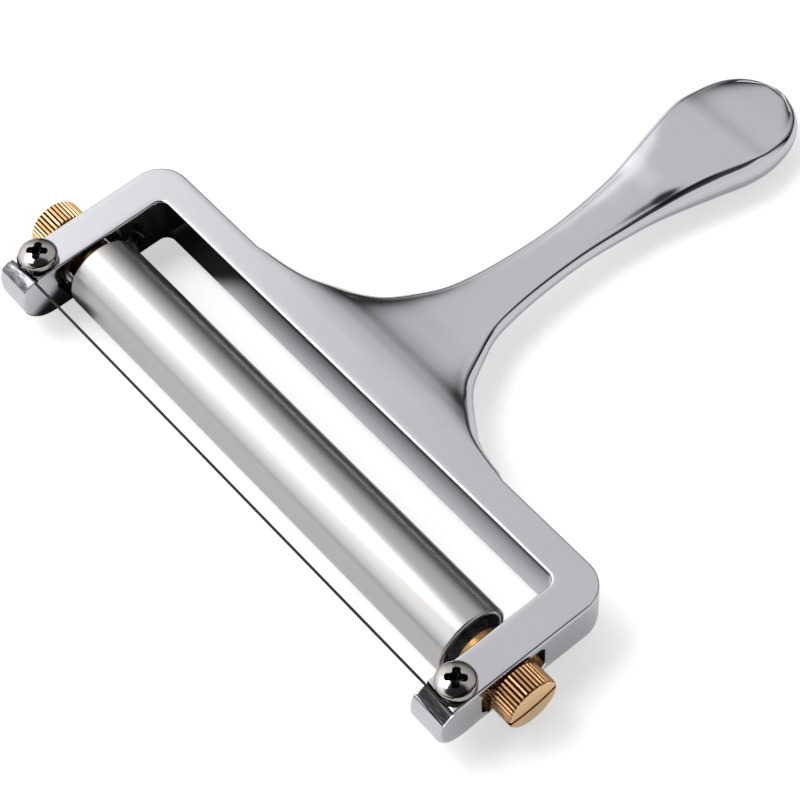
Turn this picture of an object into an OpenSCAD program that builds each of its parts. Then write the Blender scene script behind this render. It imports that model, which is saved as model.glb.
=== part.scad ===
/* [Frame] */

// Clear width between the two arms
inner_gap = 104; // [90:1:120]

// Width of each arm
arm_width = 7.2; // [6.6:0.1:9]

// Height of the arms
frame_depth = 10.5; // [10.2:0.1:12]

// Reach of the arms from the inner face of the back bar
arm_reach = 31.6; // [29:0.1:36]

// Width of the back bar
bar_width = 6.2; // [5.4:0.1:8]

// Radius of the two outer rear corners
corner_radius = 6; // [4.6:0.1:6.2]

// Rounding along the upper outer edges of the casting
edge_round = 1.2; // [0.6:0.1:1.6]

// Rounding along the lower outer edges of the casting
under_round = 2.2; // [1:0.1:3]

/* [Handle] */

// Length of the handle behind the back bar
handle_length = 96.7; // [80:1:115]

// Width of the grip near its end, between its two top creases
grip_width = 18.6; // [15:0.2:21]

/* [Roller] */

// Outer diameter of the roller tube
roller_diameter = 14.1; // [13:0.1:14.6]

// Wall of the roller tube
roller_wall = 1.1; // [0.8:0.1:1.5]

// Gap between a roller end and the arm beside it
roller_end_gap = 2.5; // [2.2:0.1:3.4]

// Gap between the roller and the wire, which sets the slice's thickness
slice_gap = 4.7; // [1.6:0.1:8.7]

// Diameter of the axle rod inside the roller
axle_diameter = 6; // [5.4:0.1:6.6]

/* [Adjusting slots] */

// Length of the slot through each arm
slot_length = 13.4; // [12.4:0.1:15]

// Height of the slot through each arm
slot_height = 6.9; // [6.4:0.1:7.6]

// Depth of the pocket in the arm's inner face for the collar
pocket_depth = 1.6; // [1.2:0.1:1.7]

/* [Thumb screws] */

// Diameter of the knurled head
knob_diameter = 10; // [9:0.1:10.2]

// Length of the knurled head
knob_length = 5.3; // [4:0.1:7]

// Number of teeth round the knurled head
knurl_teeth = 38; // [24:1:48]

// Diameter of the threaded shank
thumb_shank_diameter = 4; // [3.2:0.1:4.2]

/* [Clamp screws] */

// Diameter of the screw head
screw_head_diameter = 7.4; // [6.8:0.1:7.6]

// Height of the screw head
screw_head_height = 2.2; // [1.9:0.1:2.8]

// Diameter of the screw's shank
screw_shank_diameter = 3.5; // [2.8:0.1:3.5]

/* [Wire] */

// Diameter of the cutting wire
wire_diameter = 0.45; // [0.4:0.01:0.5]

/* [Hidden] */

$fn = 64;
overrun = 1;

half_gap = inner_gap / 2;
outer_x = half_gap + arm_width;
mid_z = -frame_depth / 2;
total_length = arm_reach + bar_width + handle_length;

// The frame's origin: middle of the object's length, on the surface that the roller stands on
stand_depth = (frame_depth + roller_diameter) / 2;
shift_y = total_length / 2 - bar_width - handle_length;

// Casting
inner_round = 0.5;
fillet_radius = 3;
corner_x = outer_x - corner_radius;
corner_y = bar_width - corner_radius;
// Nose of each arm from its top round to its underside: back from the tip and down from the
// arms' top, of the frame's depth
nose_shares = [[0.086, 0], [0.086, 0.162], [0.048, 0.2], [0, 0.41], [0.01, 0.5], [0.071, 0.59],
               [0.162, 0.72], [0.262, 0.83], [0.39, 0.93], [0.533, 0.98], [0.695, 1]];

// Sloping channel across each tip, with a thin lip left in front
channel_width = 4.15;
channel_depth = 1.95;
channel_skew = 5;
channel_back_y = channel_width - arm_reach;
// Channel floor from its back edge forward, of the channel's width and depth
channel_shares = [[0, 0], [0.03, 0.32], [0.12, 0.41], [0.29, 0.575], [0.48, 0.78], [0.65, 0.95],
                  [0.75, 1], [0.82, 0.95], [1.01, 1.2], [1.45, 1.33]];

// Clamp screws, set in from the outer side of each arm and back from the channel
screw_inset = 3.55;
screw_setback = 3.15;
screw_x = outer_x - screw_inset;
screw_y = channel_back_y + screw_setback;
screw_gap = 0.05;
screw_shank_length = 7;
screw_hole_spare = 0.8;
screw_hole_radius = screw_shank_diameter / 2 + screw_gap;
head_clearance = 0.2;
head_lift = wire_diameter + head_clearance;
recess_depth = 1.3;
recess_point = 0.4;
recess_length = screw_head_diameter * 0.55;
recess_width = screw_head_diameter * 0.14;

// Wire: just in front of the channel's back edge, then up and round each clamp screw
wire_radius = wire_diameter / 2;
wire_inset = 0.3;
loop_clearance = 0.03;
wire_y = channel_back_y - wire_inset;
wire_z = -wire_diameter * 0.75;
wire_top_z = wire_radius + loop_clearance;
wire_sides = 8;
wire_steps = 4;

// Slot and collar pocket through each arm: a wall is left between the slot and the screw's hole
slot_corner = 1.2;
slot_wall = 0.5;
slot_front = -screw_y - screw_hole_radius - slot_wall;
slot_rear = slot_front - slot_length;
pocket_half_height = 4.7;
pocket_rear_spare = 0.7;
pocket_front_spare = 1.8;
pocket_rear = slot_rear + pocket_rear_spare;
pocket_front = slot_front - pocket_half_height + pocket_front_spare;
pocket_floor_x = half_gap + pocket_depth;

// Roller and its plugs
roller_radius = roller_diameter / 2;
axis_y = wire_y + wire_radius + slice_gap + roller_radius;
roller_half = half_gap - roller_end_gap;
tube_bore_radius = roller_radius - roller_wall;
bearing_gap = 0.06;
plug_length = 9;
plug_inset = 2;
plug_chamfer = 0.4;
plug_boss_wall = 1.3;
plug_boss_height = 1.2;

// Collars and the rod's bores
collar_flange = 1.5;
collar_play = 0.3;
collar_chamfer = 0.3;
collar_radius = pocket_half_height - collar_play;
collar_face_x = half_gap - collar_flange;
hub_play = 0.35;
hub_inset = 0.2;
hub_radius = slot_height / 2 - hub_play;
hub_end_x = outer_x - hub_inset;
bore_spare = 2;

// Thumb screws
knob_radius = knob_diameter / 2;
knob_crown = knob_length * 0.05;
knob_back_chamfer = 0.5;
knob_face_chamfer = 0.25;
knurl_depth = 0.4;
shank_gap = 0.06;
thread_reach = 9;
driver_slot_width = 0.9;
driver_slot_depth = 1.1;
driver_slot_turn = 96;

// Handle sections from the back bar to the end, as shares chosen by eye.
// Along the handle's length
station_shares = [-0.02, 0.005, 0.02, 0.045, 0.075, 0.11, 0.16, 0.215, 0.285, 0.37, 0.455,
                  0.535, 0.62, 0.69, 0.765, 0.825, 0.875, 0.925, 0.96, 0.985, 1];
// Half widths between the creases, of half the grip's width
width_shares = [4.7, 3.1, 2.4, 1.94, 1.52, 1.17, 0.88, 0.63, 0.495, 0.425, 0.41,
                0.46, 0.55, 0.67, 0.84, 0.98, 1, 0.92, 0.75, 0.48, 0.15];
// Depth of the top creases below the arms' top, of the frame's depth
top_shares = [0.03, 0, 0.03, 0.11, 0.23, 0.31, 0.375, 0.41, 0.445, 0.475, 0.495,
              0.5, 0.475, 0.4, 0.36, 0.38, 0.46, 0.52, 0.56, 0.59, 0.61];
// Depth of the bottom creases below the arms' top, of the depth that the roller reaches
bottom_shares = [0.726, 0.743, 0.751, 0.751, 0.751, 0.743, 0.726, 0.709, 0.713, 0.717, 0.726,
                 0.751, 0.785, 0.845, 0.896, 0.93, 0.956, 0.93, 0.854, 0.734, 0.555];
// How far the sides bulge, of the section's height
bulge_shares = [0.06, 0.06, 0.12, 0.17, 0.2, 0.2, 0.2, 0.2, 0.2, 0.2, 0.2,
                0.2, 0.2, 0.2, 0.2, 0.2, 0.2, 0.2, 0.2, 0.2, 0.1];
crown_share = 0.04;
crown_limit_share = 0.25;
handle_steps = 3;
side_points = 6;
crown_points = 4;

// Loop of the wire round a clamp screw: across and along, of half the head, and up to the
// arm's top, of the wire's climb
loop_across_shares = [-0.82, -0.42, 0, 0.38, 0.7, 0.86, 0.8, 0.5, 0.05, -0.45, -0.68, -0.6, -0.28];
loop_along_shares = [0, 0, -0.03, 0.02, 0.22, 0.62, 1.1, 1.52, 1.7, 1.52, 1.05, 0.6, 0.36];
loop_height_shares = [0, 0.02, 0.4, 1, 1, 1, 1, 1, 1, 1, 1, 1, 1];

// Smooth curve through a list of values, at position t counted in stations
function at(v, i) = v[max(0, min(len(v) - 1, i))];
function blend(v, t) =
    let (i = min(floor(t), len(v) - 2), f = t - i,
         a = at(v, i - 1), b = at(v, i), c = at(v, i + 1), d = at(v, i + 2))
    b + (c - a) * f / 2 + (2 * a - 5 * b + 4 * c - d) * f * f / 2
    + (3 * b - a - 3 * c + d) * f * f * f / 2;

function arc(cx, cy, r, from, to, n) =
    [for (i = [0 : n]) let (a = from + (to - from) * i / n) [cx + r * cos(a), cy + r * sin(a)]];

// Section with a pair of rounded edges on its outer side (far) and smaller ones on its inner side
function casting_section(near, far, low, high) = concat(
    arc(near + inner_round, low + inner_round, inner_round, 270, 180, 3),
    arc(near + inner_round, high - inner_round, inner_round, 180, 90, 3),
    arc(far - edge_round, high - edge_round, edge_round, 90, 0, 6),
    arc(far - under_round, low + under_round, under_round, 0, -90, 6));

module placed() {
    translate([0, shift_y, stand_depth])
        children();
}

// The right-hand copy is as drawn, the left-hand one mirrored
module handed(side) {
    if (side > 0) {
        children();
    } else {
        mirror([1, 0, 0])
            children();
    }
}

// Outline of an arm seen from the side: tip, belly and the rise towards the back bar
module arm_side() {
    nose = [for (p = nose_shares) [p.x * frame_depth - arm_reach, -p.y * frame_depth]];
    polygon(concat([[corner_y, 0]], nose, [[corner_y, -frame_depth]]));
}

// Cutter for the sloping channel that the wire lies in
module tip_channel() {
    bed = [for (p = channel_shares) [-p.x * channel_width, -p.y * channel_depth]];
    front = bed[len(bed) - 1].x;
    translate([screw_x, channel_back_y, 0])
        rotate([0, 0, -channel_skew])
            rotate([90, 0, 90])
                translate([0, 0, -arm_width])
                    linear_extrude(2 * arm_width)
                        polygon(concat([[0, overrun]], bed, [[front, overrun]]));
}

module arm_blank() {
    intersection() {
        translate([0, corner_y, 0])
            rotate([90, 0, 0])
                linear_extrude(corner_y + arm_reach)
                    polygon(casting_section(half_gap, outer_x, -frame_depth, 0));
        rotate([90, 0, 90])
            translate([0, 0, half_gap - overrun])
                linear_extrude(arm_width + 2 * overrun)
                    arm_side();
    }
}

module corner_blank() {
    translate([corner_x, corner_y, 0])
        rotate_extrude(angle = 90)
            polygon(concat([[0, -frame_depth], [0, 0]],
                           arc(corner_radius - edge_round, -edge_round, edge_round, 90, 0, 6),
                           arc(corner_radius - under_round, under_round - frame_depth,
                               under_round, 0, -90, 6)));
}

module bar_blank() {
    rotate([90, 0, 90])
        translate([0, 0, -corner_x])
            linear_extrude(2 * corner_x)
                polygon(casting_section(0, bar_width, -frame_depth, 0));
}

module inner_fillet() {
    translate([half_gap, 0, -frame_depth])
        difference() {
            translate([-fillet_radius, -fillet_radius, 0])
                cube([fillet_radius + inner_round, fillet_radius + inner_round, frame_depth]);
            translate([-fillet_radius, -fillet_radius, -overrun])
                cylinder(r = fillet_radius, h = frame_depth + 2 * overrun);
        }
}

// One cross-section of the handle: crowned top and bottom, creases, and sides that bulge along
// the outline's own normal [nx, ny]
function handle_section(y, w, top, bottom, nx, ny, bulge) =
    let (crown = min(crown_share * min(w, grip_width / 2), -crown_limit_share * top))
    concat(
        [for (i = [0 : crown_points - 1]) let (s = 2 * i / crown_points - 1)
            [w * s, y, top + crown * (1 - s * s)]],
        [for (i = [0 : side_points - 1]) let (s = 2 * i / side_points - 1, out = bulge * (1 - s * s))
            [w + out * nx, y + out * ny, top + (bottom - top) * (s + 1) / 2]],
        [for (i = [0 : crown_points - 1]) let (s = 1 - 2 * i / crown_points)
            [w * s, y, bottom - crown * (1 - s * s)]],
        [for (i = [0 : side_points - 1]) let (s = 2 * i / side_points - 1, out = bulge * (1 - s * s))
            [-w - out * nx, y + out * ny, bottom + (top - bottom) * (s + 1) / 2]]);

// Closed skin over a list of rings that have the same number of points
module skin(rings) {
    n = len(rings[0]);
    last = len(rings) - 1;
    polyhedron(
        points = [for (ring = rings) for (p = ring) p],
        faces = concat(
            [[for (j = [0 : n - 1]) j]],
            [for (i = [0 : last - 1]) for (j = [0 : n - 1])
                [i * n + j, (i + 1) * n + (j + 1) % n, i * n + (j + 1) % n]],
            [for (i = [0 : last - 1]) for (j = [0 : n - 1])
                [i * n + j, (i + 1) * n + j, (i + 1) * n + (j + 1) % n]],
            [[for (j = [0 : n - 1]) last * n + n - 1 - j]]));
}

function handle_y(t) = bar_width + handle_length * blend(station_shares, t);
function handle_w(t) = grip_width / 2 * blend(width_shares, t);

function handle_top(t) = -frame_depth * blend(top_shares, t);
function handle_bottom(t) = -stand_depth * blend(bottom_shares, t);

module handle_blank() {
    last = len(station_shares) - 1;
    count = last * handle_steps;
    skin([for (k = [0 : count])
        let (t = k / handle_steps, before = max(0, t - 0.1), after = min(last, t + 0.1),
             dy = handle_y(after) - handle_y(before),
             dw = k == 0 || k == count ? 0 : handle_w(after) - handle_w(before),
             run = norm([dy, dw]), top = handle_top(t), bottom = handle_bottom(t))
        handle_section(handle_y(t), handle_w(t), top, bottom, dy / run, -dw / run,
                       (top - bottom) * blend(bulge_shares, t))]);
}

// Pocket, slot and tapped hole of one arm
module arm_cuts() {
    for (y = [-pocket_rear, -pocket_front])
        translate([half_gap - overrun, y, mid_z])
            rotate([0, 90, 0])
                cylinder(r = pocket_half_height, h = pocket_depth + overrun);
    translate([half_gap - overrun, -pocket_front, mid_z - pocket_half_height])
        cube([pocket_depth + overrun, pocket_front - pocket_rear, 2 * pocket_half_height]);
    translate([0, -slot_front, mid_z - slot_height / 2])
        rotate([90, 0, 90])
            translate([0, 0, half_gap])
                linear_extrude(arm_width + overrun)
                    polygon([
                        [slot_corner, 0], [slot_length - slot_corner, 0],
                        [slot_length, slot_corner], [slot_length, slot_height - slot_corner],
                        [slot_length - slot_corner, slot_height], [slot_corner, slot_height],
                        [0, slot_height - slot_corner], [0, slot_corner]]);
    translate([screw_x, screw_y, -screw_shank_length - screw_hole_spare])
        cylinder(r = screw_hole_radius, h = frame_depth);
    tip_channel();
}

module cast_frame() {
    color("silver")
        placed()
            difference() {
                union() {
                    for (side = [-1, 1])
                        handed(side) {
                            arm_blank();
                            corner_blank();
                            inner_fillet();
                        }
                    bar_blank();
                    handle_blank();
                }
                for (side = [-1, 1])
                    handed(side)
                        arm_cuts();
            }
}

// Round section of the wire at a point, turned to face along the path
function wire_ring(p, dir) =
    let (u = dir / norm(dir), flat = [-u.y, u.x, 0], a = flat / norm(flat), b = cross(u, a))
    [for (j = [0 : wire_sides - 1]) let (t = 360 * (j + 0.5) / wire_sides)
        p + wire_radius / cos(180 / wire_sides) * (a * cos(t) + b * sin(t))];

function loop_point(t) = [
    screw_x + screw_head_diameter / 2 * blend(loop_across_shares, t),
    wire_y + screw_head_diameter / 2 * blend(loop_along_shares, t),
    wire_z + (wire_top_z - wire_z) * max(0, min(1, blend(loop_height_shares, t)))];

module wire_loop() {
    count = (len(loop_across_shares) - 1) * wire_steps;
    points = [for (k = [0 : count]) loop_point(k / wire_steps)];
    skin([for (k = [0 : count])
        wire_ring(points[k], k == 0 ? [1, 0, 0] : points[min(k + 1, count)] - points[k - 1])]);
}

module cutting_wire() {
    color("dimgray")
        placed() {
            start_x = loop_point(0).x;
            translate([-start_x, wire_y, wire_z])
                rotate([0, 90, 0])
                    cylinder(r = wire_radius, h = 2 * start_x);
            for (side = [-1, 1])
                handed(side)
                    wire_loop();
        }
}

// Pan-head screw: domed head with a cross recess, plain shank in place of the thread
module clamp_screw(side) {
    dome = screw_head_height * 1.9 + screw_head_diameter * 0.5;
    color("gainsboro")
        placed()
            handed(side)
                translate([screw_x, screw_y, head_lift])
                    difference() {
                        union() {
                            intersection() {
                                cylinder(d = screw_head_diameter, h = screw_head_height);
                                translate([0, 0, screw_head_height - dome])
                                    sphere(r = dome);
                            }
                            translate([0, 0, -screw_shank_length])
                                cylinder(d = screw_shank_diameter,
                                         h = screw_shank_length + screw_head_height / 2);
                        }
                        for (turn = [45, 135])
                            rotate([0, 0, turn])
                                translate([-recess_length / 2, -recess_width / 2,
                                           screw_head_height - recess_depth])
                                    cube([recess_length, recess_width, recess_depth + overrun]);
                        translate([0, 0, screw_head_height - recess_depth - recess_point])
                            cylinder(d1 = recess_width, d2 = recess_length * 0.7,
                                     h = recess_depth + recess_point);
                    }
}

module left_clamp_screw() {
    clamp_screw(-1);
}

module right_clamp_screw() {
    clamp_screw(1);
}

// Revolved piece on the roller's axis, drawn as [distance from the middle, radius]
module on_axis() {
    placed()
        translate([0, axis_y, mid_z])
            rotate([0, 90, 0])
                rotate_extrude()
                    children();
}

// Tube with its two ends turned over to a soft edge
module roller_tube() {
    soft = roller_wall * 0.4;
    color("lightgray")
        on_axis()
            polygon(concat(
                [[tube_bore_radius, -roller_half], [tube_bore_radius, roller_half]],
                arc(roller_radius - soft, roller_half - soft, soft, 90, 0, 5),
                arc(roller_radius - soft, soft - roller_half, soft, 0, -90, 5)));
}

// Bearing plug pressed into the tube, with a raised boss round the rod
module roller_plug(side) {
    face = roller_half - plug_inset;
    bore = axle_diameter / 2 + bearing_gap;
    boss = axle_diameter / 2 + plug_boss_wall;
    color("slategray")
        placed()
            handed(side)
                translate([0, axis_y, mid_z])
                    rotate([0, 90, 0])
                        rotate_extrude()
                            polygon([
                                [bore, face - plug_length], [tube_bore_radius, face - plug_length],
                                [tube_bore_radius, face - plug_chamfer],
                                [tube_bore_radius - plug_chamfer, face], [boss, face],
                                [boss, face + plug_boss_height], [bore, face + plug_boss_height]]);
}

module left_roller_plug() {
    roller_plug(-1);
}

module right_roller_plug() {
    roller_plug(1);
}

// Rod that runs through the roller, bored at both ends for the thumb screws
module axle_rod() {
    bore = thumb_shank_diameter / 2 + shank_gap;
    depth = thread_reach + bore_spare;
    color("darkgray")
        placed()
            translate([0, axis_y, mid_z])
                difference() {
                    translate([-collar_face_x, 0, 0])
                        rotate([0, 90, 0])
                            cylinder(d = axle_diameter, h = 2 * collar_face_x);
                    for (side = [-1, 1])
                        handed(side)
                            translate([collar_face_x - depth, 0, 0])
                                rotate([0, 90, 0])
                                    cylinder(r = bore, h = depth + overrun);
                }
}

// Flange that bears on the pocket's floor, with a hub that slides in the slot
module axle_collar(side) {
    bore = thumb_shank_diameter / 2 + shank_gap;
    color("goldenrod")
        placed()
            handed(side)
                translate([0, axis_y, mid_z])
                    rotate([0, 90, 0])
                        rotate_extrude()
                            polygon([
                                [bore, collar_face_x], [collar_radius - collar_chamfer, collar_face_x],
                                [collar_radius, collar_face_x + collar_chamfer],
                                [collar_radius, pocket_floor_x], [hub_radius, pocket_floor_x],
                                [hub_radius, hub_end_x - collar_chamfer],
                                [hub_radius - collar_chamfer, hub_end_x], [bore, hub_end_x]]);
}

module left_axle_collar() {
    axle_collar(-1);
}

module right_axle_collar() {
    axle_collar(1);
}

// Straight knurl: one ridge and one groove for each tooth
function knurl_outline() =
    [for (i = [0 : 2 * knurl_teeth - 1])
        let (a = 180 * i / knurl_teeth, r = i % 2 == 0 ? knob_radius : knob_radius - knurl_depth)
        [r * cos(a), r * sin(a)]];

// Head with a crowned face, cut back at both rims
module knob_head() {
    far = knob_radius + overrun;
    shoulder = knob_length - knob_crown;
    difference() {
        linear_extrude(knob_length)
            polygon(knurl_outline());
        rotate_extrude()
            polygon([
                [knob_radius - knob_back_chamfer, -overrun], [far, -overrun],
                [far, knob_back_chamfer + overrun], [knob_radius - knob_back_chamfer, 0]]);
        rotate_extrude()
            polygon([
                [0, knob_length], [knob_radius * 0.6, knob_length - knob_crown * 0.3],
                [knob_radius - knob_face_chamfer, shoulder],
                [far, shoulder - knob_face_chamfer - overrun], [far, knob_length + overrun],
                [0, knob_length + overrun]]);
    }
}

// Knurled, slotted head outside the arm, and the shank that reaches into the rod
module thumb_screw(side) {
    shank_length = outer_x - collar_face_x + thread_reach;
    color("gold")
        placed()
            handed(side)
                translate([outer_x, axis_y, mid_z])
                    rotate([0, 90, 0])
                        difference() {
                            union() {
                                knob_head();
                                translate([0, 0, -shank_length])
                                    cylinder(d = thumb_shank_diameter,
                                             h = shank_length + knob_length / 2);
                            }
                            rotate([0, 0, driver_slot_turn])
                                translate([-knob_radius, -driver_slot_width / 2,
                                           knob_length - driver_slot_depth])
                                    cube([knob_diameter, driver_slot_width,
                                          driver_slot_depth + overrun]);
                        }
}

module left_thumb_screw() {
    thumb_screw(-1);
}

module right_thumb_screw() {
    thumb_screw(1);
}

cast_frame();
cutting_wire();
left_clamp_screw();
right_clamp_screw();
roller_tube();
left_roller_plug();
right_roller_plug();
axle_rod();
left_axle_collar();
right_axle_collar();
left_thumb_screw();
right_thumb_screw();
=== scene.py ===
import math
import bpy
from mathutils import Matrix, Vector


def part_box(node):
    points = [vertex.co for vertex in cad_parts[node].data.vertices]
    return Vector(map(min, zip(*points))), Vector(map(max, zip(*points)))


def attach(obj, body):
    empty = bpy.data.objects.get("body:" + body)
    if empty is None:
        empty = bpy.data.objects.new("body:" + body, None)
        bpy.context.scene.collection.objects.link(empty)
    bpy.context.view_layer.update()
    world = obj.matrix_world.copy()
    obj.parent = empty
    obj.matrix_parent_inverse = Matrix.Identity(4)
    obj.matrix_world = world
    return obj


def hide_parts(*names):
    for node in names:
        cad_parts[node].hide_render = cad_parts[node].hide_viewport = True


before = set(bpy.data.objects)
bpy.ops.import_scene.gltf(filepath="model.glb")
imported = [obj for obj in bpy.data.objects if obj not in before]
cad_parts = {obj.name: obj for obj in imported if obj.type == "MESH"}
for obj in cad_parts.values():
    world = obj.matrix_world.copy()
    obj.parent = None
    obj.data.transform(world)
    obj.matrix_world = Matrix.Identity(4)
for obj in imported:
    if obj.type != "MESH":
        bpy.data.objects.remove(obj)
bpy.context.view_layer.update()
print("frame loaded with", len(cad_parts), "nodes")


def corners(node):
    return [Vector(corner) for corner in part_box(node)]


# places that every piece shares, read from the frame
mm = 0.001
castLow, castHigh = corners("cast_frame")
tubeLow, tubeHigh = corners("roller_tube")
knobLow, knobHigh = corners("right_thumb_screw")
clampLow, clampHigh = corners("right_clamp_screw")
collarLow, collarHigh = corners("right_axle_collar")

outerX = castHigh.x
armTop = castHigh.z
rollerRadius = (tubeHigh.z - tubeLow.z) / 2
axisY = (tubeHigh.y + tubeLow.y) / 2
axisZ = (tubeHigh.z + tubeLow.z) / 2
frameDepth = 2 * (armTop - axisZ)
screwX = (clampLow.x + clampHigh.x) / 2
screwY = (clampLow.y + clampHigh.y) / 2
axisPoint = Vector((0, axisY, axisZ))


def deselectAll():
    if bpy.context.object and bpy.context.object.mode != "OBJECT":
        bpy.ops.object.mode_set(mode="OBJECT")
    bpy.ops.object.select_all(action="DESELECT")


def activate(obj):
    deselectAll()
    obj.select_set(True)
    bpy.context.view_layer.objects.active = obj


def nameAndSettle(name):  # the active object's place, turn and size go into its mesh
    obj = bpy.context.object
    activate(obj)
    bpy.ops.object.transform_apply(location=True, rotation=True, scale=True)
    obj.name = name
    obj.data.name = name
    return obj


def editAll(obj):  # edit mode, with the whole mesh selected
    activate(obj)
    bpy.ops.object.mode_set(mode="EDIT")
    bpy.ops.mesh.select_all(action="SELECT")


def cleanSkin(obj, distance=2e-6):  # welds doubles and turns every face outwards
    editAll(obj)
    bpy.ops.mesh.remove_doubles(threshold=distance)
    bpy.ops.mesh.normals_make_consistent(inside=False)
    bpy.ops.object.mode_set(mode="OBJECT")


def softShade(obj, degrees=32):
    activate(obj)
    bpy.ops.object.shade_smooth_by_angle(angle=math.radians(degrees))


def applyAll(obj):
    activate(obj)
    for modifier in list(obj.modifiers):
        bpy.ops.object.modifier_apply(modifier=modifier.name)


def cut(obj, cutter, operation="DIFFERENCE"):
    modifier = obj.modifiers.new("cut", "BOOLEAN")
    modifier.operation = operation
    modifier.solver = "EXACT"
    modifier.object = cutter
    applyAll(obj)
    bpy.data.objects.remove(cutter)


def openOutline(points, fill="NGON"):  # a closed ring of points as a mesh, ready for editing
    deselectAll()
    bpy.ops.mesh.primitive_circle_add(vertices=len(points), radius=mm, fill_type=fill)
    obj = bpy.context.object
    for vertex, point in zip(obj.data.vertices, points):
        vertex.co = point
    editAll(obj)


def spun(name, points, centre, axis, segments):
    openOutline(points, "NOTHING")
    bpy.ops.mesh.spin(steps=segments, angle=2 * math.pi, center=centre, axis=axis)
    obj = nameAndSettle(name)
    cleanSkin(obj, 1e-6)
    editAll(obj)  # a profile's edge on the axis is left over after a spin
    bpy.ops.mesh.delete_loose(use_verts=True, use_edges=True, use_faces=False)
    bpy.ops.object.mode_set(mode="OBJECT")
    return obj


def mirroredCopy(obj, name):  # the left-hand twin of a right-hand piece
    activate(obj)
    bpy.ops.object.duplicate()
    twin = bpy.context.object
    twin.scale.x = -1
    twin = nameAndSettle(name)
    cleanSkin(twin)
    return twin


def smoothValue(values, t):  # Catmull-Rom through a list, t counted in steps
    last = len(values) - 1
    i = max(0, min(last - 1, int(math.floor(t))))
    f = t - i
    a, b, c, d = [values[max(0, min(last, k))] for k in (i - 1, i, i + 1, i + 2)]
    return (b + (c - a) * f / 2 + (2 * a - 5 * b + 4 * c - d) * f * f / 2
            + (3 * b - a - 3 * c + d) * f ** 3 / 2)


def tableValue(table, x):  # smooth curve with no overshoot through (place, value) pairs
    if x <= table[0][0]:
        return table[0][1]
    if x >= table[-1][0]:
        return table[-1][1]
    i = max(k for k in range(len(table) - 1) if table[k][0] <= x)

    def slope(k):
        if k == 0 or k == len(table) - 1:
            return 0 if k == 0 else (table[k][1] - table[k - 1][1]) / (table[k][0] - table[k - 1][0])
        before = (table[k][1] - table[k - 1][1]) / (table[k][0] - table[k - 1][0])
        after = (table[k + 1][1] - table[k][1]) / (table[k + 1][0] - table[k][0])
        return 0 if before * after <= 0 else 2 * before * after / (before + after)

    (x0, v0), (x1, v1) = table[i], table[i + 1]
    run = x1 - x0
    f = (x - x0) / run
    return (v0 * (1 + 2 * f) * (1 - f) ** 2 + run * slope(i) * f * (1 - f) ** 2
            + v1 * f * f * (3 - 2 * f) - run * slope(i + 1) * f * f * (1 - f))


def arcPoints(cx, cy, radius, start, end, steps):
    turns = [math.radians(start + (end - start) * k / steps) for k in range(steps + 1)]
    return [(cx + radius * math.cos(a), cy + radius * math.sin(a)) for a in turns]


# The casting: one skin over frame and handle, then the cuts in its arms.
# Millimetres from the middle of the bar's inner face, at the level of the arms' top.
castingSpec = {
    "armWidth": 7.2, "armReach": 31.6, "barWidth": 6.2, "handleLength": 96.53, "gripWidth": 18.6,
    "cornerRadius": 6.0, "filletRadius": 1.9,
    "topRound": 0.55, "underRound": 2.2, "innerRound": 0.42, "innerUnder": 0.15, "creaseRound": 0.42,
    "bellyRound": 0.7, "shoulder": 0.45, "roundLimit": 0.3,
    "handleGrid": 12, "flatGrid": 6, "filletSteps": 5, "sideSteps": 8, "barSteps": 10, "cornerSteps": 12,
    "rearSteps": 4, "armTopSteps": 14, "noseSteps": 5, "armUnderSteps": 10,
    # the handle's outline: how closely it is followed, where it runs out along the bar and where it ends
    "outlineStep": 0.62, "runOut": [36, 44, 52], "joinAt": 30,
    # handle stations from bar to end: share of the handle's length, of half the grip's width,
    # then depth of the top creases in frame depths and of the bottom ones in millimetres
    "stations": [0.005, 0.02, 0.045, 0.075, 0.11, 0.16, 0.215, 0.285, 0.37, 0.455,
                 0.535, 0.62, 0.69, 0.765, 0.825, 0.875, 0.925, 0.96, 0.985, 1],
    "widths": [3.1, 2.4, 1.94, 1.52, 1.17, 0.88, 0.63, 0.495, 0.425, 0.41,
               0.46, 0.55, 0.67, 0.84, 0.98, 1, 0.92, 0.75, 0.48, 0.15],
    "tops": [0.004, 0.03, 0.11, 0.23, 0.31, 0.375, 0.41, 0.445, 0.475, 0.495,
             0.5, 0.475, 0.4, 0.36, 0.38, 0.46, 0.52, 0.56, 0.59, 0.61],
    "bottoms": [9.3, 9.24, 9.24, 9.24, 9.14, 8.93, 8.72, 8.77, 8.82, 8.93,
                9.24, 9.66, 10.4, 11.02, 11.44, 11.76, 11.44, 10.5, 9.03, 6.83],
    "bulges": [0.06, 0.12, 0.17] + [0.2] * 16 + [0.1],
    # how far the middle of the handle's top stands above its creases, along the handle, how quickly
    # that falls off to the sides, how much of it the underside has, and the half widths that have it all
    "riseFalloff": 4, "riseUnder": 0.3, "riseWidths": (4, 14),
    "rises": [(6.6, 0), (8.1, 0.12), (10.5, 0.4), (13.4, 0.7), (16.8, 0.8), (21.6, 0.65), (27, 0.45),
              (34, 0.32), (42, 0.3), (58, 0.42), (66, 0.55), (72.8, 0.33), (80, 0.1), (86, 0.18), (91, 0.45),
              (96, 0.75), (102.7, 0.9)],
    # nose of an arm from its brow down to its underside: back from the tip and down
    "nose": [(4.3, 0), (3.3, 0.27), (2.3, 0.68), (1.62, 1.12), (1.27, 1.72), (1.08, 2.4), (0.84, 3.1),
             (0.66, 3.9), (0.58, 4.9), (0.64, 5.9), (0.9, 6.9), (1.42, 7.9), (2.25, 8.9), (3.45, 9.75),
             (5.1, 10.32), (7.1, 10.5)],
    "armSeam": -8.0,
}

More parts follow.
